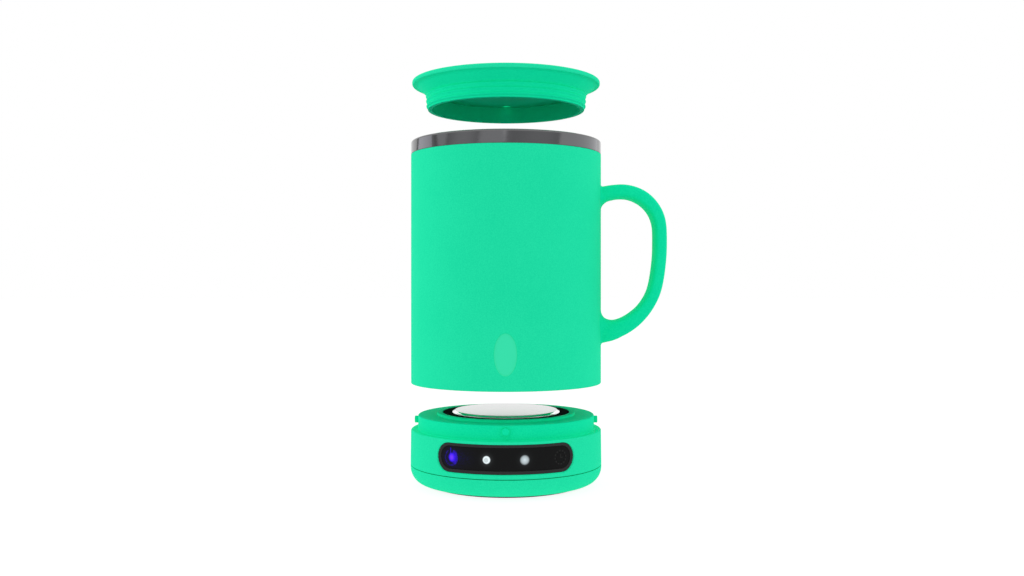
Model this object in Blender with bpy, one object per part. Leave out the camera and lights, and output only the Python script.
"""Self heating mug: lid, double-walled mug and battery heating base, as separate named solids.

Metres, +Z up. The origin is on the ground at the middle of the foot pad, the handle points to +X and the
touch panel faces -Y. The three assemblies stand apart on one axis: the mug hovers above the base that it locks
on, and the lid hovers above the mug. Each assembly hangs on an empty at its own lowest edge, so its pieces are
placed by heights above that edge.
"""

import math

import bmesh
import bpy
from mathutils import Matrix, Vector

# Shared sizes
BODY_RADIUS = 0.0430
GAP = 0.0003
OVERRUN = 0.0020
SEGMENTS = 36
HIDDEN_SEGMENTS = 18
SMALL_SEGMENTS = 6
ROUND_SEGMENTS = 10
CELL_SEGMENTS = 16
CORNER_STEPS = 2
SHARP_ANGLE = math.radians(34)
MERGE = 0.000001

# Distances between the assemblies as they are shown
MUG_HOVER = 0.02057
LID_HOVER = 0.0145

# Foot pad and bottom cover
FOOT_MARGIN = 0.0023
FOOT_PROUD = 0.00086
FOOT_INSET = 0.0003
COVER_HEIGHT = 0.00802
COVER_WALL = 0.0016
COVER_EDGE_RUN = 0.0054
COVER_EDGE_RISE = 0.0071
COVER_EDGE_STEPS = 4
TONGUE_HEIGHT = 0.0022
TONGUE_WALL = 0.0012
COVER_SEAL_WIDTH = 0.0006
COVER_SEAL_HEIGHT = 0.0007
SEAM_GAP = 0.0004

# Housing of the base
SIDE_DRAFT = 0.00019
HOUSING_WALL = 0.0026
LEDGE_ROUND = 0.0006
LEDGE_WALL = 0.0020
LEDGE_WIDTH = 0.00318
SPIGOT_HEIGHT = 0.00649
SPIGOT_WALL = 0.0020
SPIGOT_ROUND = 0.0005
TOP_WALL = 0.0020
SPIGOT_TOP_WIDTH = 0.00874
LIP_WIDTH = 0.00221
LIP_HEIGHT = 0.00073

# Bayonet between the mug and the base
PEG_COUNT = 4
PEG_RADIUS = 0.00157
PEG_REACH = 0.00163
PEG_HEIGHT = 0.00387
PEG_ROOT = 0.0012
PEG_ROUND = 0.0002
SLOT_CLEARANCE = 0.0003
BAYONET_TWIST = math.radians(15)
LEG_STEPS = 4

# Battery, boards and heater, stacked up from the floor of the cover
TRAY_WALL = 0.0010
TRAY_HEIGHT = 0.0072
TRAY_CHAMFER_RUN = 0.0024
TRAY_CHAMFER_RISE = 0.0052
CELL_RADIUS = 0.0092
CELL_END_MARGIN = 0.0016
CELL_SPACING = 0.0004
CELL_ROUND = 0.0006
NUB_RADIUS = 0.0028
NUB_HEIGHT = 0.0005
TAB_THICKNESS = 0.0003
TAB_HEIGHT = 0.0060
TAB_OVERLAP = 0.0040
BOARD_CLEARANCE = 0.0006
BOARD_MARGIN = 0.0032
BOARD_THICKNESS = 0.0010
COMPONENT_ROOM = 0.0007
CHIP_HEIGHT = 0.0004
CARRIER_WALL = 0.0010
CARRIER_MARGIN = 0.0017
PAD_THICKNESS = 0.0015
HEATER_THICKNESS = 0.0004
HEATER_INSET = 0.0009
SENSOR_RADIUS = 0.0012
PLATE_FLANGE_THICKNESS = 0.0018
PLATE_FLANGE_WIDTH = 0.0019
INSULATOR_THICKNESS = 0.00189
INSULATOR_PROUD = 0.0003
INSULATOR_WIDTH = 0.00387
PLATE_PROUD = 0.0009
PLATE_CHAMFER = 0.0004

# Fasteners of the base
SCREW_COUNT = 4
COVER_SCREW_INSET = 0.0078
COVER_SCREW_TURN = math.radians(58)
COVER_SCREW_RADIUS = 0.0011
COVER_SCREW_LENGTH = 0.0130
COVER_HEAD_RADIUS = 0.0019
COVER_HEAD_HEIGHT = 0.0014
COVER_BOSS_RADIUS = 0.0034
COVER_BOSS_HEIGHT = 0.0030
HOUSING_BOSS_RADIUS = 0.0026
SMALL_SCREW_RADIUS = 0.0009
SMALL_HEAD_RADIUS = 0.0016
SMALL_HEAD_HEIGHT = 0.0009
CARRIER_SCREW_INSET = 0.0025
CARRIER_SCREW_LENGTH = 0.0044
CARRIER_BOSS_RADIUS = 0.0019
BOARD_SCREW_INSET = 0.0036
BOARD_SCREW_SIDE = 0.0080
BOARD_SCREW_LENGTH = 0.0060
POST_RADIUS = 0.0019

# Touch panel, measured along the cylinder
PANEL_RISE = 0.0002
PANEL_HALF_LENGTH = 0.03115
PANEL_HALF_HEIGHT = 0.00615
PANEL_END_STEPS = 4
PANEL_SPAN_STEPS = 8
BEZEL_WIDTH = 0.0014
BEZEL_DEPTH = 0.0003
BEZEL_FALL = 0.0006
POCKET_DEPTH = 0.0017
POCKET_MARGIN = 0.0026
WINDOW_THICKNESS = 0.0006
WINDOW_FALL = 0.0001
TOUCH_BOARD_THICKNESS = 0.0008
LIGHT_INSET = 0.00706
LIGHT_COUNT = 4
LIGHT_WIDTH = 0.0024
LIGHT_HEIGHT = 0.0018
LIGHT_DEPTH = 0.0008
RIBBON_WIDTH = 0.0080
RIBBON_THICKNESS = 0.0003
RIBBON_DROP = 0.0030
RIBBON_LAP = 0.0030

# Charging port at the back
PORT_HALF_WIDTH = 0.0045
PORT_HALF_HEIGHT = 0.0016
PORT_LENGTH = 0.0073
PORT_SHELL = 0.00035
PORT_RECESS = 0.0010
PORT_CAVITY = 0.0062
PORT_END_STEPS = 4
PORT_TONGUE_HALF_WIDTH = 0.0033
PORT_TONGUE_THICKNESS = 0.0007
PORT_TONGUE_LENGTH = 0.0052
CHARGE_BOARD_HALF_WIDTH = 0.0055
CHARGE_BOARD_MARGIN = 0.0030
CHARGE_BOARD_THICKNESS = 0.0010

# Mug: shell, handle, liner and underside
SHELL_HEIGHT = 0.1028
SHELL_WALL = 0.0020
SHELL_EDGE_ROUND = 0.0005
SKIRT_CLEARANCE = 0.0003
SHOULDER_WIDTH = 0.0015
SHOULDER_HEIGHT = 0.0020
SHOULDER_SLOPE = 0.0024
BAND_HEIGHT = 0.00587
BAND_WALL = 0.0006
RIM_OUTER_ROUND = 0.0015
RIM_INNER_ROUND = 0.0026
COLLAR_HEIGHT = 0.0041
GASKET_WIDTH = 0.0024
CUP_WALL = 0.00645
LINER_WALL = 0.0006
LINER_CORNER = 0.0084
LINER_CORNER_STEPS = 3
CONTACT_MARGIN = 0.00047
CONTACT_THICKNESS = 0.0023
SEAL_WIDTH = 0.0021
SEAL_HEIGHT = 0.0020
CLOSURE_THICKNESS = 0.0030
CLOSURE_LEDGE = 0.0011
EMBLEM_HALF_WIDTH = 0.00505
EMBLEM_HALF_HEIGHT = 0.0091
EMBLEM_HEIGHT = 0.01516
EMBLEM_DEPTH = 0.00035
EMBLEM_STEPS = 10

# Handle: its middle line in the XZ plane, as shares of its reach and its rise above its lower root
HANDLE_REACH = 0.0268
HANDLE_RISE = 0.0656
HANDLE_ROOT_HEIGHT = 0.0210
HANDLE_HALF_THICKNESS = 0.0034
HANDLE_HALF_WIDTH = 0.0074
HANDLE_SINK = 0.0030
HANDLE_TOP_FILLET = 0.0034
HANDLE_LOWER_FILLET = 0.0040
HANDLE_OUTER_FILLET = 0.0012
HANDLE_LOWER_SWELL = 0.0052
HANDLE_SWELL_REACH = 0.0170
HANDLE_STATIONS = 26
HANDLE_SIDES = 12
HANDLE_SQUARENESS = 0.80
HANDLE_END_SHARE = 0.80
HANDLE_LINE_SHARES = (
    (0.000, 0.986), (0.354, 1.000), (0.634, 0.972), (0.807, 0.916), (0.949, 0.832), (1.000, 0.665),
    (0.986, 0.520), (0.941, 0.375), (0.854, 0.267), (0.697, 0.163), (0.489, 0.085), (0.168, 0.020),
    (0.000, 0.000),
)

# Lid
BRIM_SETBACK = 0.0005
BRIM_THICKNESS = 0.00168
BRIM_ROUND = 0.0007
BRIM_FLAT = 0.0009
BRIM_HEIGHT = 0.01288
PLUG_HEIGHT = 0.00705
PLUG_CLEARANCE = 0.00065
PLUG_TAPER = 0.0004
PLUG_WALL = 0.0024
PLUG_EDGE_ROUND = 0.0009
RIB_COUNT = 3
RIB_FIRST = 0.00163
RIB_PITCH = 0.00226
RIB_RELIEF = 0.00035
RIB_HALF_HEIGHT = 0.0007
UNDERSIDE_STEPS = 4
CEILING_HEIGHT = 0.0075
DISH_DEPTH = 0.0016
DISH_MARGIN = 0.0030
DISH_SLOPE = 0.0030
VENT_RADIUS = 0.0020
VENT_INSET = 0.0026

# Heights in the base, above the ground
COVER_BOTTOM_Z = FOOT_PROUD
COVER_FLOOR_Z = COVER_BOTTOM_Z + COVER_WALL
COVER_TOP_Z = COVER_BOTTOM_Z + COVER_HEIGHT
HOUSING_BOTTOM_Z = COVER_TOP_Z + SEAM_GAP
TRAY_Z = COVER_FLOOR_Z + GAP
TRAY_TOP_Z = TRAY_Z + TRAY_HEIGHT
CELL_AXIS_Z = TRAY_Z + TRAY_WALL + GAP + CELL_RADIUS
BOARD_Z = CELL_AXIS_Z + CELL_RADIUS + BOARD_CLEARANCE
BOARD_TOP_Z = BOARD_Z + BOARD_THICKNESS
CARRIER_Z = BOARD_TOP_Z + COMPONENT_ROOM
PAD_Z = CARRIER_Z + CARRIER_WALL + GAP
HEATER_Z = PAD_Z + PAD_THICKNESS + GAP
PLATE_Z = HEATER_Z + HEATER_THICKNESS + GAP
REBATE_Z = PLATE_Z + PLATE_FLANGE_THICKNESS
INSULATOR_Z = REBATE_Z + GAP
INSULATOR_TOP_Z = INSULATOR_Z + INSULATOR_THICKNESS
PLATE_TOP_Z = INSULATOR_TOP_Z + PLATE_PROUD
LIP_TOP_Z = INSULATOR_TOP_Z - INSULATOR_PROUD
SPIGOT_TOP_Z = LIP_TOP_Z - LIP_HEIGHT
TOP_UNDERSIDE_Z = SPIGOT_TOP_Z - TOP_WALL
LEDGE_Z = SPIGOT_TOP_Z - SPIGOT_HEIGHT
PANEL_Z = (HOUSING_BOTTOM_Z + LEDGE_Z) / 2 + PANEL_RISE
CHARGE_BOARD_Z = TRAY_TOP_Z + GAP
COVER_HEAD_Z = COVER_BOTTOM_Z + FOOT_INSET + GAP
COVER_SEAT_Z = COVER_HEAD_Z + COVER_HEAD_HEIGHT + GAP
COVER_TIP_Z = COVER_HEAD_Z + COVER_HEAD_HEIGHT + COVER_SCREW_LENGTH
COVER_BOSS_TOP_Z = COVER_FLOOR_Z + COVER_BOSS_HEIGHT
CARRIER_TOP_Z = CARRIER_Z + 2 * CARRIER_WALL + GAP
CARRIER_FLANGE_Z = CARRIER_Z + CARRIER_WALL + GAP
CARRIER_TIP_Z = CARRIER_FLANGE_Z - GAP + CARRIER_SCREW_LENGTH
PORT_Z = CHARGE_BOARD_Z + CHARGE_BOARD_THICKNESS + GAP + PORT_HALF_HEIGHT

# Radii in the base
SEAM_RADIUS = BODY_RADIUS + SIDE_DRAFT
FOOT_RADIUS = SEAM_RADIUS - COVER_EDGE_RUN - FOOT_MARGIN
SPIGOT_RADIUS = BODY_RADIUS - LEDGE_WIDTH
SPIGOT_BORE = SPIGOT_RADIUS - SPIGOT_WALL
LIP_RADIUS = SPIGOT_RADIUS - SPIGOT_TOP_WIDTH
LIP_BORE = LIP_RADIUS - LIP_WIDTH
PLATE_RADIUS = LIP_BORE - 2 * GAP - INSULATOR_WIDTH
HOUSING_BORE = SEAM_RADIUS - HOUSING_WALL
TONGUE_RADIUS = HOUSING_BORE - GAP
TONGUE_BORE = TONGUE_RADIUS - TONGUE_WALL
TRAY_RADIUS = TONGUE_BORE - GAP
PLATE_FLANGE_RADIUS = PLATE_RADIUS + PLATE_FLANGE_WIDTH
PLATE_BORE = PLATE_FLANGE_RADIUS + GAP
CARRIER_BORE = PLATE_BORE
CARRIER_CUP_RADIUS = CARRIER_BORE + CARRIER_WALL
CARRIER_RADIUS = SPIGOT_BORE - CARRIER_MARGIN
BOARD_RADIUS = SPIGOT_BORE - BOARD_MARGIN
COVER_SCREW_PLACE = HOUSING_BORE - COVER_SCREW_INSET
CARRIER_SCREW_PLACE = CARRIER_RADIUS - CARRIER_SCREW_INSET
BOARD_SCREW_PLACE = BOARD_RADIUS - BOARD_SCREW_INSET
CELL_HALF = math.sqrt(TRAY_RADIUS ** 2 - (2 * CELL_RADIUS + CELL_SPACING) ** 2) - CELL_END_MARGIN
POCKET_FLOOR_RADIUS = BODY_RADIUS - POCKET_DEPTH
WINDOW_BACK_RADIUS = POCKET_FLOOR_RADIUS + GAP
WINDOW_FRONT_RADIUS = WINDOW_BACK_RADIUS + WINDOW_THICKNESS
TOUCH_BOARD_FRONT_RADIUS = HOUSING_BORE - 2 * GAP
TOUCH_BOARD_BACK_RADIUS = TOUCH_BOARD_FRONT_RADIUS - TOUCH_BOARD_THICKNESS
SENSOR_HOLE_RADIUS = SENSOR_RADIUS + GAP

# Heights in the mug, above its lower edge
CONTACT_Z = PLATE_TOP_Z - LEDGE_Z
LINER_BOTTOM_Z = CONTACT_Z + CONTACT_THICKNESS + GAP
SEAL_Z = LIP_TOP_Z - LEDGE_Z
SEAL_TOP_Z = SEAL_Z + SEAL_HEIGHT
CLOSURE_TOP_Z = SEAL_TOP_Z + GAP + CLOSURE_LEDGE
CLOSURE_Z = CLOSURE_TOP_Z - CLOSURE_THICKNESS
SHOULDER_Z = CLOSURE_TOP_Z + GAP
BAND_Z = SHELL_HEIGHT + GAP
RIM_Z = SHELL_HEIGHT + BAND_HEIGHT
COLLAR_TOP_Z = SHELL_HEIGHT + COLLAR_HEIGHT
SKIRT_BORE = SPIGOT_RADIUS + SKIRT_CLEARANCE
SHELL_BORE = BODY_RADIUS - SHELL_WALL
LINER_RADIUS = BODY_RADIUS - CUP_WALL
LINER_OUTER_RADIUS = LINER_RADIUS + LINER_WALL
CONTACT_RADIUS = LIP_BORE - CONTACT_MARGIN
SLOT_RADIUS = SPIGOT_RADIUS + PEG_REACH + SLOT_CLEARANCE
SEAL_BORE = CONTACT_RADIUS + 2 * GAP
SEAL_RADIUS = SEAL_BORE + SEAL_WIDTH

# Radii in the lid
BRIM_RADIUS = BODY_RADIUS - BRIM_SETBACK
PLUG_RADIUS = LINER_RADIUS - PLUG_CLEARANCE

MUG_Z = LEDGE_Z + MUG_HOVER
LID_Z = MUG_Z + RIM_Z + LID_HOVER

FRONT = -math.pi / 2


def clear_scene():
    for item in list(bpy.data.objects):
        bpy.data.objects.remove(item, do_unlink=True)


def make_material(name, colour, roughness, metallic=0.0):
    material = bpy.data.materials.new(name)
    material.use_nodes = True
    surface = material.node_tree.nodes["Principled BSDF"]
    surface.inputs["Base Color"].default_value = (*colour, 1.0)
    surface.inputs["Roughness"].default_value = roughness
    surface.inputs["Metallic"].default_value = metallic
    material.diffuse_color = (*colour, 1.0)
    return material


def make_frame(name, height):
    frame = bpy.data.objects.new(name, None)
    frame.location = (0, 0, height)
    bpy.context.collection.objects.link(frame)
    return frame


def make_object(name, bm, frame, material=None, height=0.0):
    """Object from a bmesh, parented to its assembly's empty and raised to its own height."""
    bmesh.ops.remove_doubles(bm, verts=bm.verts, dist=MERGE)
    bmesh.ops.recalc_face_normals(bm, faces=bm.faces)
    mesh = bpy.data.meshes.new(name)
    bm.to_mesh(mesh)
    bm.free()
    mesh.shade_smooth()
    mesh.set_sharp_from_angle(angle=SHARP_ANGLE)
    item = bpy.data.objects.new(name, mesh)
    bpy.context.collection.objects.link(item)
    item.parent = frame
    item.location = (0, 0, height)
    if material:
        mesh.materials.append(material)
    return item


def make_tool(name, bm, frame, height=0.0):
    """A shape that only cuts or joins another one."""
    tool = make_object(name, bm, frame, height=height)
    tool.hide_render = True
    tool.display_type = "WIRE"
    return tool


def combine(target, tool, operation):
    modifier = target.modifiers.new(tool.name, "BOOLEAN")
    modifier.operation = operation
    modifier.solver = "EXACT"
    modifier.object = tool


def cut(target, tool):
    combine(target, tool, "DIFFERENCE")


def join(target, tool):
    combine(target, tool, "UNION")


def rounded(corners, steps=CORNER_STEPS):
    """Outline through corners (r, z, fillet), with each filleted corner turned into an arc.

    A fillet takes at most half of the shorter side beside it.
    """
    outline = []
    for index, (r, z, fillet) in enumerate(corners):
        here = Vector((r, z))
        if not fillet:
            outline.append((r, z))
            continue
        before = Vector(corners[index - 1][:2]) - here
        after = Vector(corners[(index + 1) % len(corners)][:2]) - here
        half = before.angle(after) / 2
        reach = min(fillet / math.tan(half), before.length / 2, after.length / 2)
        radius = reach * math.tan(half)
        centre = here + (before.normalized() + after.normalized()).normalized() * (radius / math.sin(half))
        start = here + before.normalized() * reach - centre
        end = here + after.normalized() * reach - centre
        sweep = start.angle_signed(end)
        for step in range(steps + 1):
            turned_arm = start.copy()
            turned_arm.rotate(Matrix.Rotation(-sweep * step / steps, 2))
            outline.append(tuple(centre + turned_arm))
    return outline


def sharp(*corners):
    return [(r, z, 0) for r, z in corners]


def ellipse_arc(centre, run, rise, start, end, steps):
    """Points on an axis-aligned ellipse from one angle to another, as plain corners."""
    points = []
    for step in range(steps + 1):
        angle = start + (end - start) * step / steps
        points.append((centre[0] + run * math.cos(angle), centre[1] + rise * math.sin(angle), 0))
    return points


def add_turned(bm, outline, place=None, segments=SEGMENTS):
    """Turn an outline in the XZ plane about Z; one that starts on the axis stays open there."""
    earlier = set(bm.verts)
    verts = [bm.verts.new((r, 0, z)) for r, z in outline]
    edges = [bm.edges.new(pair) for pair in zip(verts, verts[1:])]
    if outline[0][0] > 0:
        edges.append(bm.edges.new((verts[-1], verts[0])))
    bmesh.ops.spin(
        bm, geom=verts + edges, cent=(0, 0, 0), axis=(0, 0, 1), angle=2 * math.pi, steps=segments,
        use_merge=True,
    )
    if place:
        bmesh.ops.transform(bm, matrix=place, verts=[vert for vert in bm.verts if vert not in earlier])


def turned(name, corners, frame, material, height=0.0, segments=SEGMENTS):
    bm = bmesh.new()
    add_turned(bm, rounded(corners), segments=segments)
    return make_object(name, bm, frame, material, height)


def turned_group(corners, places, segments=SMALL_SEGMENTS):
    """Bmesh with one turned solid at each place."""
    bm = bmesh.new()
    for place in places:
        add_turned(bm, rounded(corners), place, segments)
    return bm


def turned_set(name, corners, places, frame, material, segments=SMALL_SEGMENTS):
    """Equal turned pieces, one object at each place."""
    bm = turned_group(corners, [Matrix.Identity(4)], segments)
    first = make_object(name + "_1", bm, frame, material)
    first.matrix_local = places[0]
    for index, place in enumerate(places[1:], 2):
        item = bpy.data.objects.new(f"{name}_{index}", first.data)
        bpy.context.collection.objects.link(item)
        item.parent = frame
        item.matrix_local = place


def disc(radius, thickness):
    return sharp((0, 0), (radius, 0), (radius, thickness), (0, thickness))


def ring(inner, outer, thickness):
    return sharp((inner, 0), (outer, 0), (outer, thickness), (inner, thickness))


def round_places(count, radius, height=0.0, turn=0.0):
    """Matrices for upright pieces spaced evenly on a circle."""
    places = []
    for index in range(count):
        angle = turn + 2 * math.pi * index / count
        places.append(Matrix.Translation((radius * math.cos(angle), radius * math.sin(angle), height)))
    return places


def cover_screw_places(height):
    """Four places between the cells and the wall, in two pairs."""
    turns = (COVER_SCREW_TURN, math.pi - COVER_SCREW_TURN, math.pi + COVER_SCREW_TURN, -COVER_SCREW_TURN)
    return [Matrix.Translation(on_cylinder(COVER_SCREW_PLACE, turn, height)) for turn in turns]


def board_screw_places(height):
    """Four places beside the cells, in two pairs that straddle the front and the back."""
    along = math.sqrt(BOARD_SCREW_PLACE ** 2 - BOARD_SCREW_SIDE ** 2)
    spots = ((1, 1), (-1, 1), (-1, -1), (1, -1))
    return [Matrix.Translation((across * BOARD_SCREW_SIDE, ahead * along, height)) for across, ahead in spots]


def screw_outline(shank, head, head_height, length):
    """Screw with its head at the bottom and its tip at the top."""
    return sharp((0, 0), (head, 0), (head, head_height), (shank, head_height),
                 (shank, head_height + length), (0, head_height + length))


def add_box(bm, low, high):
    size = Vector(high) - Vector(low)
    middle = (Vector(high) + Vector(low)) / 2
    bmesh.ops.create_cube(bm, size=1.0, matrix=Matrix.Translation(middle) @ Matrix.Diagonal((*size, 1)))


def on_cylinder(radius, angle, z):
    return (radius * math.cos(angle), radius * math.sin(angle), z)


def add_wrapped(bm, columns, inner, outer):
    """Closed solid between two radii, from columns (angle, low z, high z) in order of angle.

    A column whose low and high meet has one point there, so an outline can close in a tip.
    """
    shells = []
    for radius in (inner, outer):
        lows = [bm.verts.new(on_cylinder(radius, angle, low)) for angle, low, high in columns]
        highs = [
            low_vert if high == low else bm.verts.new(on_cylinder(radius, angle, high))
            for (angle, low, high), low_vert in zip(columns, lows)
        ]
        shells.append((lows, highs))
        for index in range(len(columns) - 1):
            corners = (lows[index], lows[index + 1], highs[index + 1], highs[index])
            bm.faces.new(list(dict.fromkeys(corners)))
    (lows_in, highs_in), (lows_out, highs_out) = shells
    loops = [lows + [vert for vert in reversed(highs) if vert not in lows]
             for lows, highs in ((lows_in, highs_in), (lows_out, highs_out))]
    for index in range(len(loops[0])):
        following = (index + 1) % len(loops[0])
        bm.faces.new((loops[0][index], loops[0][following], loops[1][following], loops[1][index]))


def stadium_columns(half_length, half_height, centre_z, middle, end_steps=PANEL_END_STEPS):
    """Columns of a stadium wrapped on the body, with its length measured along the body's surface."""
    straight = half_length - half_height
    spots = [(-straight - half_height * math.cos(turn), half_height * math.sin(turn))
             for turn in (math.pi / 2 * step / end_steps for step in range(end_steps))]
    spots += [(straight * (2 * step / PANEL_SPAN_STEPS - 1), half_height) for step in range(PANEL_SPAN_STEPS + 1)]
    spots += [(-along, tall) for along, tall in reversed(spots[:end_steps])]
    return [(middle + along / BODY_RADIUS, centre_z - tall, centre_z + tall) for along, tall in spots]


def oval_columns(half_width, half_height, centre_z, middle, steps):
    turns = [math.pi * step / steps for step in range(steps + 1)]
    tall = [half_height * math.sin(turn) if 0 < step < steps else 0.0 for step, turn in enumerate(turns)]
    return [(middle - half_width * math.cos(turn) / BODY_RADIUS, centre_z - rise, centre_z + rise)
            for turn, rise in zip(turns, tall)]


def stadium_loop(half_length, half_height, end_steps):
    """Stadium outline as (across, up) points, counter-clockwise from its lower right."""
    straight = half_length - half_height
    points = []
    for side in (1, -1):
        for step in range(end_steps + 1):
            turn = -math.pi / 2 + math.pi * step / end_steps
            points.append((side * (straight + half_height * math.cos(turn)), side * half_height * math.sin(turn)))
    return points


def panel_loop(offset):
    """Outline of the panel moved outwards by an offset, as (angle, z) points round the loop."""
    columns = stadium_columns(PANEL_HALF_LENGTH + offset, PANEL_HALF_HEIGHT + offset, PANEL_Z, FRONT)
    lower = [(angle, low) for angle, low, high in columns]
    upper = [(angle, high) for angle, low, high in columns if high > low]
    return lower + list(reversed(upper))


def add_prism(bm, loop, height, back, front):
    """Solid with a loop of (across, up) points as its section, running along Y."""
    rings = [[bm.verts.new((across, y, height + up)) for across, up in loop] for y in (back, front)]
    for verts in rings:
        bm.faces.new(verts)
    for index in range(len(loop)):
        following = (index + 1) % len(loop)
        bm.faces.new((rings[0][index], rings[0][following], rings[1][following], rings[1][index]))


def make_materials():
    return {
        "green": make_material("soft_green", (0.012, 0.640, 0.335), 0.55),
        "black": make_material("black_rubber", (0.012, 0.012, 0.013), 0.60),
        "bezel": make_material("bezel_grey", (0.028, 0.028, 0.030), 0.40),
        "window": make_material("window_black", (0.010, 0.010, 0.011), 0.15),
        "steel": make_material("brushed_steel", (0.42, 0.42, 0.44), 0.30, 1.0),
        "plate": make_material("polished_plate", (0.86, 0.86, 0.87), 0.12, 1.0),
        "aluminium": make_material("aluminium", (0.70, 0.70, 0.72), 0.35, 1.0),
        "silicone": make_material("clear_grey_silicone", (0.55, 0.56, 0.56), 0.55),
        "board": make_material("board_green", (0.015, 0.120, 0.045), 0.45),
        "film": make_material("heater_film", (0.420, 0.170, 0.030), 0.40),
        "pad": make_material("insulation_pad", (0.62, 0.60, 0.54), 0.90),
        "inner": make_material("inner_plastic", (0.070, 0.072, 0.075), 0.55),
        "cell": make_material("cell_wrap", (0.050, 0.190, 0.420), 0.35),
        "nickel": make_material("nickel", (0.60, 0.58, 0.53), 0.30, 1.0),
        "light": make_material("indicator_light", (0.90, 0.92, 0.95), 0.30),
    }


def make_cover(base, look):
    """Bottom cover: flat underside, elliptical edge, and a tongue that plugs into the housing."""
    edge_centre = (SEAM_RADIUS - COVER_EDGE_RUN, COVER_BOTTOM_Z + COVER_EDGE_RISE)
    corners = sharp((0, COVER_HEAD_Z), (FOOT_RADIUS + GAP, COVER_HEAD_Z), (FOOT_RADIUS + GAP, COVER_BOTTOM_Z))
    corners += ellipse_arc(edge_centre, COVER_EDGE_RUN, COVER_EDGE_RISE, FRONT, 0, COVER_EDGE_STEPS)
    corners += sharp(
        (SEAM_RADIUS, COVER_TOP_Z),
        (TONGUE_RADIUS, COVER_TOP_Z),
        (TONGUE_RADIUS, COVER_TOP_Z + TONGUE_HEIGHT),
        (TONGUE_BORE, COVER_TOP_Z + TONGUE_HEIGHT),
    )
    inner_run = TONGUE_BORE - edge_centre[0]
    inner_rise = COVER_EDGE_RISE - COVER_WALL
    corners += ellipse_arc(edge_centre, inner_run, inner_rise, 0, FRONT, CORNER_STEPS)
    corners += sharp((0, COVER_FLOOR_Z))
    cover = turned("bottom_cover", corners, base, look["green"])

    boss_z = (COVER_HEAD_Z + COVER_FLOOR_Z) / 2
    bosses = turned_group(disc(COVER_BOSS_RADIUS, COVER_BOSS_TOP_Z - boss_z), cover_screw_places(boss_z))
    join(cover, make_tool("cover_bosses", bosses, base))
    hole = sharp(
        (0, COVER_BOTTOM_Z - OVERRUN),
        (COVER_HEAD_RADIUS + GAP, COVER_BOTTOM_Z - OVERRUN),
        (COVER_HEAD_RADIUS + GAP, COVER_SEAT_Z),
        (COVER_SCREW_RADIUS + GAP, COVER_SEAT_Z),
        (COVER_SCREW_RADIUS + GAP, COVER_BOSS_TOP_Z + OVERRUN),
        (0, COVER_BOSS_TOP_Z + OVERRUN),
    )
    cut(cover, make_tool("cover_screw_holes", turned_group(hole, cover_screw_places(0)), base))


def make_foot(base, look):
    turned("foot_pad", disc(FOOT_RADIUS, FOOT_PROUD + FOOT_INSET), base, look["black"])


def make_cover_seal(base, look):
    """Square-section ring in the corner between the tongue and the housing's rebate."""
    section = ring(TONGUE_RADIUS + GAP, TONGUE_RADIUS + GAP + COVER_SEAL_WIDTH, COVER_SEAL_HEIGHT)
    turned("cover_seal", section, base, look["silicone"], COVER_TOP_Z + GAP)


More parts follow.
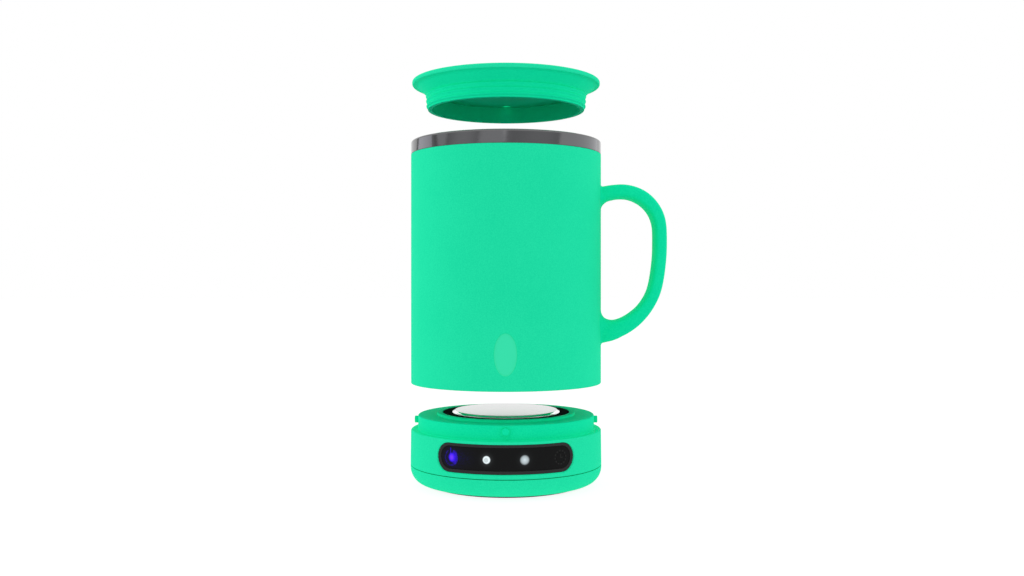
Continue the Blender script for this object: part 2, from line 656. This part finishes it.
def make_housing(base, look):
    """Base housing: side wall, ledge, spigot with pegs, raised lip and the rebate under the insulator ring."""
    seal_bore = TONGUE_RADIUS + GAP + COVER_SEAL_WIDTH + GAP
    seal_top = COVER_TOP_Z + GAP + COVER_SEAL_HEIGHT + GAP
    corners = [
        (seal_bore, HOUSING_BOTTOM_Z, 0),
        (SEAM_RADIUS, HOUSING_BOTTOM_Z, 0),
        (BODY_RADIUS, LEDGE_Z, LEDGE_ROUND),
        (SPIGOT_RADIUS, LEDGE_Z, 0),
        (SPIGOT_RADIUS, SPIGOT_TOP_Z, SPIGOT_ROUND),
        (LIP_RADIUS, SPIGOT_TOP_Z, 0),
        (LIP_RADIUS, LIP_TOP_Z, 0),
        (LIP_BORE, LIP_TOP_Z, 0),
        (LIP_BORE, REBATE_Z, 0),
        (PLATE_BORE, REBATE_Z, 0),
        (PLATE_BORE, TOP_UNDERSIDE_Z, 0),
        (SPIGOT_BORE, TOP_UNDERSIDE_Z, 0),
        (SPIGOT_BORE, LEDGE_Z - LEDGE_WALL, 0),
        (HOUSING_BORE, LEDGE_Z - LEDGE_WALL, 0),
        (HOUSING_BORE, seal_top, 0),
        (seal_bore, seal_top, 0),
    ]
    housing = turned("base_housing", corners, base, look["green"])

    lying = Matrix.Rotation(math.pi / 2, 4, "Y")
    pegs = []
    for index in range(PEG_COUNT):
        around = Matrix.Rotation(2 * math.pi * index / PEG_COUNT, 4, "Z")
        root = Matrix.Translation((SPIGOT_RADIUS - PEG_ROOT, 0, LEDGE_Z + PEG_HEIGHT))
        pegs.append(around @ root @ lying)
    peg_length = PEG_ROOT + PEG_REACH
    peg = [(0, 0, 0), (PEG_RADIUS, 0, 0), (PEG_RADIUS, peg_length, PEG_ROUND), (0, peg_length, 0)]
    join(housing, make_tool("bayonet_pegs", turned_group(peg, pegs, ROUND_SEGMENTS), base))

    boss_foot = COVER_BOSS_TOP_Z + GAP
    boss_length = TOP_UNDERSIDE_Z + TOP_WALL / 4 - boss_foot
    bosses = turned_group(disc(HOUSING_BOSS_RADIUS, boss_length), cover_screw_places(boss_foot))
    short_length = TOP_UNDERSIDE_Z + TOP_WALL / 4 - CARRIER_TOP_Z - GAP
    for place in round_places(SCREW_COUNT, CARRIER_SCREW_PLACE, CARRIER_TOP_Z + GAP):
        add_turned(bosses, rounded(disc(CARRIER_BOSS_RADIUS, short_length)), place, SMALL_SEGMENTS)
    join(housing, make_tool("housing_bosses", bosses, base))

    pilots = turned_group(disc(COVER_SCREW_RADIUS + GAP, COVER_TIP_Z + GAP - COVER_BOSS_TOP_Z),
                          cover_screw_places(COVER_BOSS_TOP_Z))
    short_pilot = rounded(disc(SMALL_SCREW_RADIUS + GAP, CARRIER_TIP_Z + GAP - CARRIER_TOP_Z))
    for place in round_places(SCREW_COUNT, CARRIER_SCREW_PLACE, CARRIER_TOP_Z):
        add_turned(pilots, short_pilot, place, SMALL_SEGMENTS)
    cut(housing, make_tool("housing_pilots", pilots, base))

    pocket = bmesh.new()
    outline = stadium_columns(PANEL_HALF_LENGTH + GAP, PANEL_HALF_HEIGHT + GAP, PANEL_Z, FRONT)
    add_wrapped(pocket, outline, POCKET_FLOOR_RADIUS, SEAM_RADIUS + OVERRUN)
    cut(housing, make_tool("panel_pocket", pocket, base))
    light_hole = bmesh.new()
    outline = stadium_columns(PANEL_HALF_LENGTH - POCKET_MARGIN, PANEL_HALF_HEIGHT - POCKET_MARGIN, PANEL_Z, FRONT)
    add_wrapped(light_hole, outline, HOUSING_BORE - OVERRUN, POCKET_FLOOR_RADIUS + POCKET_DEPTH / 2)
    cut(housing, make_tool("light_hole", light_hole, base))

    port = bmesh.new()
    loop = stadium_loop(PORT_HALF_WIDTH + GAP, PORT_HALF_HEIGHT + GAP, PORT_END_STEPS)
    add_prism(port, loop, PORT_Z, HOUSING_BORE - OVERRUN, SEAM_RADIUS + OVERRUN)
    cut(housing, make_tool("port_hole", port, base))


def make_panel(base, look):
    """Bezel with a sloped face, the curved window inside it, and the board with its lights behind."""
    bezel_front = BODY_RADIUS - BEZEL_DEPTH
    section = (
        (0, bezel_front),
        (-BEZEL_WIDTH, bezel_front - BEZEL_FALL),
        (-BEZEL_WIDTH, WINDOW_BACK_RADIUS),
        (0, WINDOW_BACK_RADIUS),
    )
    bm = bmesh.new()
    loops = [[bm.verts.new(on_cylinder(radius, angle, z)) for angle, z in panel_loop(offset)]
             for offset, radius in section]
    for near, far in zip(loops, loops[1:] + loops[:1]):
        for index in range(len(near)):
            following = (index + 1) % len(near)
            bm.faces.new((near[index], near[following], far[following], far[index]))
    make_object("panel_bezel", bm, base, look["bezel"])

    bm = bmesh.new()
    inset = BEZEL_WIDTH + GAP
    outline = stadium_columns(PANEL_HALF_LENGTH - inset, PANEL_HALF_HEIGHT - inset, PANEL_Z, FRONT)
    add_wrapped(bm, outline, WINDOW_BACK_RADIUS, WINDOW_FRONT_RADIUS - WINDOW_FALL)
    make_object("panel_window", bm, base, look["window"])

    bm = bmesh.new()
    inset = POCKET_MARGIN / 2
    outline = stadium_columns(PANEL_HALF_LENGTH - inset, PANEL_HALF_HEIGHT - inset, PANEL_Z, FRONT)
    add_wrapped(bm, outline, TOUCH_BOARD_BACK_RADIUS, TOUCH_BOARD_FRONT_RADIUS)
    make_object("touch_board", bm, base, look["board"])

    light_back = TOUCH_BOARD_FRONT_RADIUS + GAP
    half_turn = LIGHT_WIDTH / 2 / light_back
    row_half = (PANEL_HALF_LENGTH - LIGHT_INSET) / BODY_RADIUS
    for index in range(LIGHT_COUNT):
        angle = FRONT + row_half * (2 * index / (LIGHT_COUNT - 1) - 1)
        low, high = PANEL_Z - LIGHT_HEIGHT / 2, PANEL_Z + LIGHT_HEIGHT / 2
        bm = bmesh.new()
        columns = [(angle - half_turn, low, high), (angle + half_turn, low, high)]
        add_wrapped(bm, columns, light_back, light_back + LIGHT_DEPTH)
        make_object(f"indicator_light_{index + 1}", bm, base, look["light"])


def make_ribbon(base, look):
    """Flat ribbon from the back of the touch board, over the edge of the main board."""
    front_y = GAP - math.sqrt(TOUCH_BOARD_BACK_RADIUS ** 2 - RIBBON_WIDTH ** 2 / 4)
    top_z = BOARD_TOP_Z + GAP + RIBBON_THICKNESS
    spigot_y = -(SPIGOT_BORE - 2 * GAP)
    line = (
        (front_y, PANEL_Z - RIBBON_DROP),
        (front_y, LEDGE_Z - LEDGE_WALL - RIBBON_DROP),
        (spigot_y + RIBBON_DROP / 2, top_z),
        (-BOARD_RADIUS + RIBBON_LAP, top_z),
    )
    points = [Vector(point) for point in line]
    sides = []
    for index, point in enumerate(points):
        before = (point - points[index - 1]).normalized() if index else Vector((0, 0))
        after = (points[index + 1] - point).normalized() if index + 1 < len(points) else Vector((0, 0))
        along = (before + after).normalized()
        spread = along.dot(after if index == 0 else before)
        sides.append(Vector((along.y, -along.x)) * (RIBBON_THICKNESS / spread))
    loop = [tuple(point) for point in points] + [tuple(p + s) for p, s in zip(reversed(points), reversed(sides))]
    bm = bmesh.new()
    ends = [[bm.verts.new((x, y, z)) for y, z in loop] for x in (-RIBBON_WIDTH / 2, RIBBON_WIDTH / 2)]
    for verts in ends:
        bm.faces.new(verts)
    for index in range(len(loop)):
        following = (index + 1) % len(loop)
        bm.faces.new((ends[0][index], ends[0][following], ends[1][following], ends[1][index]))
    make_object("panel_ribbon", bm, base, look["film"])


def make_heater(base, look):
    """Heating plate with its hidden flange, the black ring round it, and the heater stack below."""
    height = PLATE_TOP_Z - PLATE_Z
    plate = sharp(
        (0, 0),
        (PLATE_FLANGE_RADIUS, 0),
        (PLATE_FLANGE_RADIUS, PLATE_FLANGE_THICKNESS),
        (PLATE_RADIUS, PLATE_FLANGE_THICKNESS),
        (PLATE_RADIUS, height - PLATE_CHAMFER),
        (PLATE_RADIUS - PLATE_CHAMFER, height),
        (0, height),
    )
    turned("heating_plate", plate, base, look["plate"], PLATE_Z)
    turned("insulator_ring", ring(PLATE_RADIUS + GAP, LIP_BORE - GAP, INSULATOR_THICKNESS), base, look["black"],
           INSULATOR_Z)
    film_radius = PLATE_FLANGE_RADIUS - HEATER_INSET
    turned("film_heater", ring(SENSOR_HOLE_RADIUS, film_radius, HEATER_THICKNESS), base, look["film"], HEATER_Z,
           HIDDEN_SEGMENTS)
    pad_radius = CARRIER_BORE - 2 * GAP
    turned("insulation_pad", ring(SENSOR_HOLE_RADIUS, pad_radius, PAD_THICKNESS), base, look["pad"], PAD_Z,
           HIDDEN_SEGMENTS)
    sensor_z = BOARD_TOP_Z + GAP
    turned("temperature_sensor", disc(SENSOR_RADIUS, PLATE_Z - GAP - sensor_z), base, look["nickel"], sensor_z,
           SMALL_SEGMENTS)

    carrier = sharp(
        (SENSOR_HOLE_RADIUS, 0),
        (CARRIER_CUP_RADIUS, 0),
        (CARRIER_CUP_RADIUS, CARRIER_WALL + GAP),
        (CARRIER_RADIUS, CARRIER_WALL + GAP),
        (CARRIER_RADIUS, 2 * CARRIER_WALL + GAP),
        (CARRIER_BORE, 2 * CARRIER_WALL + GAP),
        (CARRIER_BORE, CARRIER_WALL),
        (SENSOR_HOLE_RADIUS, CARRIER_WALL),
    )
    tray = turned("heater_carrier", carrier, base, look["inner"], CARRIER_Z)
    hole_height = CARRIER_WALL + 2 * OVERRUN
    holes = turned_group(disc(SMALL_SCREW_RADIUS + GAP, hole_height),
                         round_places(SCREW_COUNT, CARRIER_SCREW_PLACE, CARRIER_FLANGE_Z - OVERRUN))
    for place in cover_screw_places(CARRIER_FLANGE_Z - OVERRUN):
        add_turned(holes, rounded(disc(HOUSING_BOSS_RADIUS + GAP, hole_height)), place, SMALL_SEGMENTS)
    cut(tray, make_tool("carrier_holes", holes, base))

    outline = screw_outline(SMALL_SCREW_RADIUS, SMALL_HEAD_RADIUS, SMALL_HEAD_HEIGHT, CARRIER_SCREW_LENGTH)
    places = round_places(SCREW_COUNT, CARRIER_SCREW_PLACE, CARRIER_FLANGE_Z - GAP - SMALL_HEAD_HEIGHT)
    turned_set("carrier_screw", outline, places, base, look["steel"])


def make_main_board(base, look):
    board = turned("main_board", disc(BOARD_RADIUS, BOARD_THICKNESS), base, look["board"], BOARD_Z)
    chips = bmesh.new()
    chip = BOARD_RADIUS / 6
    for across, along in ((-2, 1), (1, 2), (2, -2), (-1, -3)):
        low = (across * chip - chip / 2, along * chip - chip / 2, BOARD_TOP_Z - BOARD_THICKNESS / 2)
        high = (across * chip + chip / 2, along * chip + chip / 2, BOARD_TOP_Z + CHIP_HEIGHT)
        add_box(chips, low, high)
    join(board, make_tool("board_chips", chips, base))
    hole_height = BOARD_THICKNESS + 2 * OVERRUN
    holes = turned_group(disc(SMALL_SCREW_RADIUS + GAP, hole_height), board_screw_places(BOARD_Z - OVERRUN))
    for place in cover_screw_places(BOARD_Z - OVERRUN):
        add_turned(holes, rounded(disc(HOUSING_BOSS_RADIUS + GAP, hole_height)), place, SMALL_SEGMENTS)
    cut(board, make_tool("board_holes", holes, base))

    outline = screw_outline(SMALL_SCREW_RADIUS, SMALL_HEAD_RADIUS, SMALL_HEAD_HEIGHT, BOARD_SCREW_LENGTH)
    upside_down = Matrix.Rotation(math.pi, 4, "X")
    head_top = BOARD_TOP_Z + GAP + SMALL_HEAD_HEIGHT
    places = [place @ upside_down for place in board_screw_places(head_top)]
    turned_set("board_screw", outline, places, base, look["steel"])


def make_battery(base, look):
    """Two cells side by side in a round tray, joined at both ends by nickel tabs."""
    cell_y = CELL_RADIUS + CELL_SPACING / 2
    outline = [
        (0, -CELL_HALF, 0),
        (CELL_RADIUS, -CELL_HALF, CELL_ROUND),
        (CELL_RADIUS, CELL_HALF, CELL_ROUND),
        (NUB_RADIUS, CELL_HALF, 0),
        (NUB_RADIUS, CELL_HALF + NUB_HEIGHT, 0),
        (0, CELL_HALF + NUB_HEIGHT, 0),
    ]
    places = []
    for side in (-1, 1):
        lying = Matrix.Rotation(side * math.pi / 2, 4, "Y")
        places.append(Matrix.Translation((0, side * cell_y, CELL_AXIS_Z)) @ lying)
    turned_set("battery_cell", outline, places, base, look["cell"], CELL_SEGMENTS)

    tab_x = CELL_HALF + NUB_HEIGHT + GAP
    tab_y = cell_y + TAB_OVERLAP
    tab_z = TRAY_TOP_Z + GAP
    for index, side in enumerate((-1, 1), 1):
        near, far = sorted((side * tab_x, side * (tab_x + TAB_THICKNESS)))
        tab = bmesh.new()
        add_box(tab, (near, -tab_y, tab_z), (far, tab_y, tab_z + TAB_HEIGHT))
        make_object(f"cell_tab_{index}", tab, base, look["nickel"])

    corners = sharp(
        (0, 0),
        (TRAY_RADIUS - TRAY_CHAMFER_RUN, 0),
        (TRAY_RADIUS, TRAY_CHAMFER_RISE),
        (TRAY_RADIUS, TRAY_HEIGHT),
        (0, TRAY_HEIGHT),
    )
    tray = turned("battery_tray", corners, base, look["inner"], TRAY_Z)
    post_length = BOARD_Z - GAP - TRAY_TOP_Z + TRAY_HEIGHT / 2
    posts = turned_group(disc(POST_RADIUS, post_length), board_screw_places(TRAY_TOP_Z - TRAY_HEIGHT / 2))
    join(tray, make_tool("board_posts", posts, base))
    trough_half = CELL_HALF + NUB_HEIGHT + GAP
    trough = sharp((0, -trough_half), (CELL_RADIUS + GAP, -trough_half), (CELL_RADIUS + GAP, trough_half),
                   (0, trough_half))
    for place in places:
        cut(tray, make_tool("cell_trough", turned_group(trough, [place], CELL_SEGMENTS), base))
    notch_height = TRAY_HEIGHT + 2 * OVERRUN
    notches = turned_group(disc(COVER_BOSS_RADIUS + GAP, notch_height), cover_screw_places(TRAY_Z - OVERRUN))
    depth = BOARD_SCREW_LENGTH + GAP
    for place in board_screw_places(BOARD_TOP_Z - depth):
        add_turned(notches, rounded(disc(SMALL_SCREW_RADIUS + GAP, depth)), place, SMALL_SEGMENTS)
    cut(tray, make_tool("tray_notches", notches, base))


def make_cover_screws(base, look):
    outline = screw_outline(COVER_SCREW_RADIUS, COVER_HEAD_RADIUS, COVER_HEAD_HEIGHT, COVER_SCREW_LENGTH)
    turned_set("cover_screw", outline, cover_screw_places(COVER_HEAD_Z), base, look["steel"])


def make_port(base, look):
    """Charging socket: a stadium shell with a blind cavity and a thin tongue, on a narrow board."""
    front = BODY_RADIUS - PORT_RECESS
    back = front - PORT_LENGTH
    bm = bmesh.new()
    add_prism(bm, stadium_loop(PORT_HALF_WIDTH, PORT_HALF_HEIGHT, PORT_END_STEPS), PORT_Z, back, front)
    shell = make_object("port_shell", bm, base, look["steel"])
    bm = bmesh.new()
    loop = stadium_loop(PORT_HALF_WIDTH - PORT_SHELL, PORT_HALF_HEIGHT - PORT_SHELL, PORT_END_STEPS)
    add_prism(bm, loop, PORT_Z, front - PORT_CAVITY, front + OVERRUN)
    cut(shell, make_tool("port_cavity", bm, base))

    tongue_back = front - PORT_CAVITY + GAP
    bm = bmesh.new()
    add_box(bm, (-PORT_TONGUE_HALF_WIDTH, tongue_back, PORT_Z - PORT_TONGUE_THICKNESS / 2),
            (PORT_TONGUE_HALF_WIDTH, tongue_back + PORT_TONGUE_LENGTH, PORT_Z + PORT_TONGUE_THICKNESS / 2))
    make_object("port_tongue", bm, base, look["black"])

    board_front = math.sqrt(TONGUE_BORE ** 2 - CHARGE_BOARD_HALF_WIDTH ** 2) - 2 * GAP
    board_back = 2 * CELL_RADIUS + CELL_SPACING / 2 + CHARGE_BOARD_MARGIN
    bm = bmesh.new()
    add_box(bm, (-CHARGE_BOARD_HALF_WIDTH, board_back, CHARGE_BOARD_Z),
            (CHARGE_BOARD_HALF_WIDTH, board_front, CHARGE_BOARD_Z + CHARGE_BOARD_THICKNESS))
    make_object("charge_board", bm, base, look["board"])


def make_shell(mug, look):
    """Outer shell: skirt with bayonet slots, inner shoulder, straight wall and the collar under the rim."""
    collar_radius = BODY_RADIUS - BAND_WALL - GAP
    corners = [
        (SKIRT_BORE, 0, 0),
        (BODY_RADIUS, 0, SHELL_EDGE_ROUND),
        (BODY_RADIUS, SHELL_HEIGHT, 0),
        (collar_radius, SHELL_HEIGHT, 0),
        (collar_radius, COLLAR_TOP_Z, 0),
        (SHELL_BORE, COLLAR_TOP_Z, 0),
        (SHELL_BORE, SHOULDER_Z + SHOULDER_HEIGHT + SHOULDER_SLOPE, 0),
        (SKIRT_BORE - SHOULDER_WIDTH, SHOULDER_Z + SHOULDER_HEIGHT, 0),
        (SKIRT_BORE - SHOULDER_WIDTH, SHOULDER_Z, 0),
        (SKIRT_BORE, SHOULDER_Z, 0),
    ]
    shell = turned("outer_shell", corners, mug, look["green"])

    peg_z = PEG_HEIGHT - GAP
    slot_half = PEG_RADIUS + SLOT_CLEARANCE
    half_turn = slot_half / SKIRT_BORE
    slot_inner = SKIRT_BORE - OVERRUN
    entries = bmesh.new()
    legs = bmesh.new()
    for index in range(PEG_COUNT):
        angle = 2 * math.pi * index / PEG_COUNT
        columns = [(angle + side * half_turn, -OVERRUN, peg_z + slot_half) for side in (-1, 0, 1)]
        add_wrapped(entries, columns, slot_inner, SLOT_RADIUS)
        leg_turn = BAYONET_TWIST + half_turn
        turns = [angle + leg_turn * step / LEG_STEPS for step in range(LEG_STEPS + 1)]
        columns = [(turn, peg_z - slot_half, peg_z + slot_half) for turn in turns]
        add_wrapped(legs, columns, slot_inner, SLOT_RADIUS)
    cut(shell, make_tool("slot_entries", entries, mug))
    cut(shell, make_tool("slot_legs", legs, mug))

    emblem = bmesh.new()
    outline = oval_columns(EMBLEM_HALF_WIDTH, EMBLEM_HALF_HEIGHT, EMBLEM_HEIGHT, FRONT, EMBLEM_STEPS)
    add_wrapped(emblem, outline, BODY_RADIUS - EMBLEM_DEPTH, BODY_RADIUS + OVERRUN)
    cut(shell, make_tool("emblem_place", emblem, mug))


def handle_point(position):
    """Point on the handle's middle line at a position from 0 to 1, on a smooth curve through its shares."""
    shares = HANDLE_LINE_SHARES
    span = position * (len(shares) - 1)
    index = min(int(span), len(shares) - 2)
    part = span - index
    ends = [shares[max(0, min(len(shares) - 1, index + shift))] for shift in (-1, 0, 1, 2)]
    weights = (
        (-part + 2 * part ** 2 - part ** 3) / 2,
        (2 - 5 * part ** 2 + 3 * part ** 3) / 2,
        (part + 4 * part ** 2 - 3 * part ** 3) / 2,
        (-part ** 2 + part ** 3) / 2,
    )
    across = sum(weight * end[0] for weight, end in zip(weights, ends))
    up = sum(weight * end[1] for weight, end in zip(weights, ends))
    return Vector((BODY_RADIUS + across * HANDLE_REACH, 0, HANDLE_ROOT_HEIGHT + up * HANDLE_RISE))


def fillet_growth(distance, radius):
    """How much a quarter-round fillet adds at a distance from the wall it runs into."""
    reach = max(0.0, radius - max(0.0, distance))
    return radius - math.sqrt(max(0.0, radius ** 2 - reach ** 2))


def make_handle(mug, look):
    """Handle: a rounded section carried along its middle line, thicker where it meets the wall.

    The stations lie closer together towards both ends, where the fillets are.
    """
    turn = 2 * math.pi
    steps = [step / HANDLE_STATIONS for step in range(HANDLE_STATIONS + 1)]
    stations = [handle_point(step - HANDLE_END_SHARE * math.sin(turn * step) / turn) for step in steps]
    sink = Vector((-HANDLE_SINK, 0, 0))
    stations = [stations[0] + sink] + stations + [stations[-1] + sink]
    bm = bmesh.new()
    rings = []
    for index, point in enumerate(stations):
        ahead = stations[min(index + 1, len(stations) - 1)]
        behind = stations[max(index - 1, 0)]
        along = (ahead - behind).normalized()
        outwards = Vector((-along.z, 0, along.x))
        distance = point.x - BODY_RADIUS
        lower = index > len(stations) / 2
        inner_fillet = HANDLE_LOWER_FILLET if lower else HANDLE_TOP_FILLET
        swell = max(0.0, 1 - max(0.0, distance) / HANDLE_SWELL_REACH) ** 1.5 * HANDLE_LOWER_SWELL if lower else 0.0
        inner = HANDLE_HALF_THICKNESS + swell + fillet_growth(distance, inner_fillet)
        outer = HANDLE_HALF_THICKNESS + fillet_growth(distance, HANDLE_OUTER_FILLET)
        wide = HANDLE_HALF_WIDTH + fillet_growth(distance, HANDLE_OUTER_FILLET)
        verts = []
        for side in range(HANDLE_SIDES):
            angle = turn * side / HANDLE_SIDES
            up = math.copysign(abs(math.cos(angle)) ** HANDLE_SQUARENESS, math.cos(angle))
            across = math.copysign(abs(math.sin(angle)) ** HANDLE_SQUARENESS, math.sin(angle))
            thick = outer if up > 0 else inner
            verts.append(bm.verts.new(point + outwards * (up * thick) + Vector((0, across * wide, 0))))
        rings.append(verts)
    bm.faces.new(rings[0])
    bm.faces.new(rings[-1])
    for near, far in zip(rings, rings[1:]):
        for side in range(HANDLE_SIDES):
            following = (side + 1) % HANDLE_SIDES
            bm.faces.new((near[side], near[following], far[following], far[side]))
    handle = make_object("handle", bm, mug, look["green"])

    wall = bmesh.new()
    add_turned(wall, rounded(disc(BODY_RADIUS + GAP, SHELL_HEIGHT)))
    cut(handle, make_tool("handle_seat", wall, mug))


def make_liner(mug, look):
    """Steel liner: flat floor, rounded corner, straight wall and a rim rolled out and down over the shell."""
    corner_z = LINER_BOTTOM_Z + LINER_CORNER
    corner_r = LINER_OUTER_RADIUS - LINER_CORNER
    band_bore = BODY_RADIUS - BAND_WALL
    corners = sharp((0, LINER_BOTTOM_Z))
    corners += ellipse_arc((corner_r, corner_z), LINER_CORNER, LINER_CORNER, FRONT, 0, LINER_CORNER_STEPS)
    corners += [
        (LINER_OUTER_RADIUS, RIM_Z - LINER_WALL, RIM_INNER_ROUND - LINER_WALL),
        (band_bore, RIM_Z - LINER_WALL, RIM_OUTER_ROUND - BAND_WALL),
        (band_bore, BAND_Z, 0),
        (BODY_RADIUS, BAND_Z, 0),
        (BODY_RADIUS, RIM_Z, RIM_OUTER_ROUND),
        (LINER_RADIUS, RIM_Z, RIM_INNER_ROUND),
    ]
    inner_corner = LINER_CORNER - LINER_WALL
    corners += ellipse_arc((corner_r, corner_z), inner_corner, inner_corner, 0, FRONT, LINER_CORNER_STEPS)
    corners += sharp((0, LINER_BOTTOM_Z + LINER_WALL))
    turned("inner_liner", corners, mug, look["steel"])

    gasket_radius = band_bore - 3 * GAP
    gasket_height = RIM_Z - LINER_WALL - COLLAR_TOP_Z - 2 * GAP
    turned("rim_gasket", ring(gasket_radius - GASKET_WIDTH, gasket_radius, gasket_height), mug, look["silicone"],
           COLLAR_TOP_Z + GAP)


def make_underside(mug, look):
    turned("contact_plate", disc(CONTACT_RADIUS, CONTACT_THICKNESS), mug, look["aluminium"], CONTACT_Z)
    closure_radius = SKIRT_BORE - GAP
    corners = sharp(
        (SEAL_RADIUS + GAP, CLOSURE_Z),
        (closure_radius, CLOSURE_Z),
        (closure_radius, CLOSURE_TOP_Z),
        (CONTACT_RADIUS + GAP, CLOSURE_TOP_Z),
        (CONTACT_RADIUS + GAP, CLOSURE_TOP_Z - CLOSURE_LEDGE),
        (SEAL_RADIUS + GAP, CLOSURE_TOP_Z - CLOSURE_LEDGE),
    )
    turned("closure_ring", corners, mug, look["green"])


def make_seat_seal(seat, look):
    turned("seat_seal", ring(SEAL_BORE, SEAL_RADIUS, SEAL_HEIGHT), seat, look["silicone"])


def make_lid(lid, look):
    """Lid: hollow plug with ring ribs, a concave underside out to a thin brim, and a shallow dish on top."""
    def plug_radius(z):
        return PLUG_RADIUS - PLUG_TAPER * (1 - z / PLUG_HEIGHT)

    brim_bottom = BRIM_HEIGHT - BRIM_THICKNESS
    plug_bore = PLUG_RADIUS - PLUG_WALL
    corners = [(plug_bore, 0, 0), (plug_radius(0), 0, PLUG_EDGE_ROUND)]
    for index in range(RIB_COUNT):
        crest = RIB_FIRST + RIB_PITCH * index
        corners += [
            (plug_radius(crest), crest - RIB_HALF_HEIGHT, 0),
            (plug_radius(crest) + RIB_RELIEF, crest, 0),
            (plug_radius(crest), crest + RIB_HALF_HEIGHT, 0),
        ]
    run = BRIM_RADIUS - BRIM_ROUND - BRIM_FLAT - PLUG_RADIUS
    rise = brim_bottom - PLUG_HEIGHT
    corners += ellipse_arc((PLUG_RADIUS + run, PLUG_HEIGHT), run, rise, math.pi, math.pi / 2, UNDERSIDE_STEPS)
    corners += [
        (BRIM_RADIUS, brim_bottom, BRIM_ROUND),
        (BRIM_RADIUS, BRIM_HEIGHT, BRIM_ROUND),
        (BRIM_RADIUS - DISH_MARGIN, BRIM_HEIGHT, 0),
        (BRIM_RADIUS - DISH_MARGIN - DISH_SLOPE, BRIM_HEIGHT - DISH_DEPTH, 0),
        (0, BRIM_HEIGHT - DISH_DEPTH, 0),
    ]
    corners = sharp((0, CEILING_HEIGHT), (plug_bore, CEILING_HEIGHT)) + corners
    body = turned("lid", corners, lid, look["green"])
    vent = turned_group(disc(VENT_RADIUS, BRIM_HEIGHT + OVERRUN),
                        [Matrix.Translation((0, plug_bore - VENT_INSET, CEILING_HEIGHT - OVERRUN))], ROUND_SEGMENTS)
    cut(body, make_tool("steam_vent", vent, lid))


def main():
    clear_scene()
    look = make_materials()
    base = make_frame("base_frame", 0)
    seat = make_frame("seat_frame", MUG_Z + SEAL_Z)
    mug = make_frame("mug_frame", MUG_Z)
    lid = make_frame("lid_frame", LID_Z)
    make_foot(base, look)
    make_cover(base, look)
    make_cover_screws(base, look)
    make_cover_seal(base, look)
    make_housing(base, look)
    make_panel(base, look)
    make_ribbon(base, look)
    make_battery(base, look)
    make_main_board(base, look)
    make_port(base, look)
    make_heater(base, look)
    make_seat_seal(seat, look)
    make_shell(mug, look)
    make_handle(mug, look)
    make_liner(mug, look)
    make_underside(mug, look)
    make_lid(lid, look)


main()
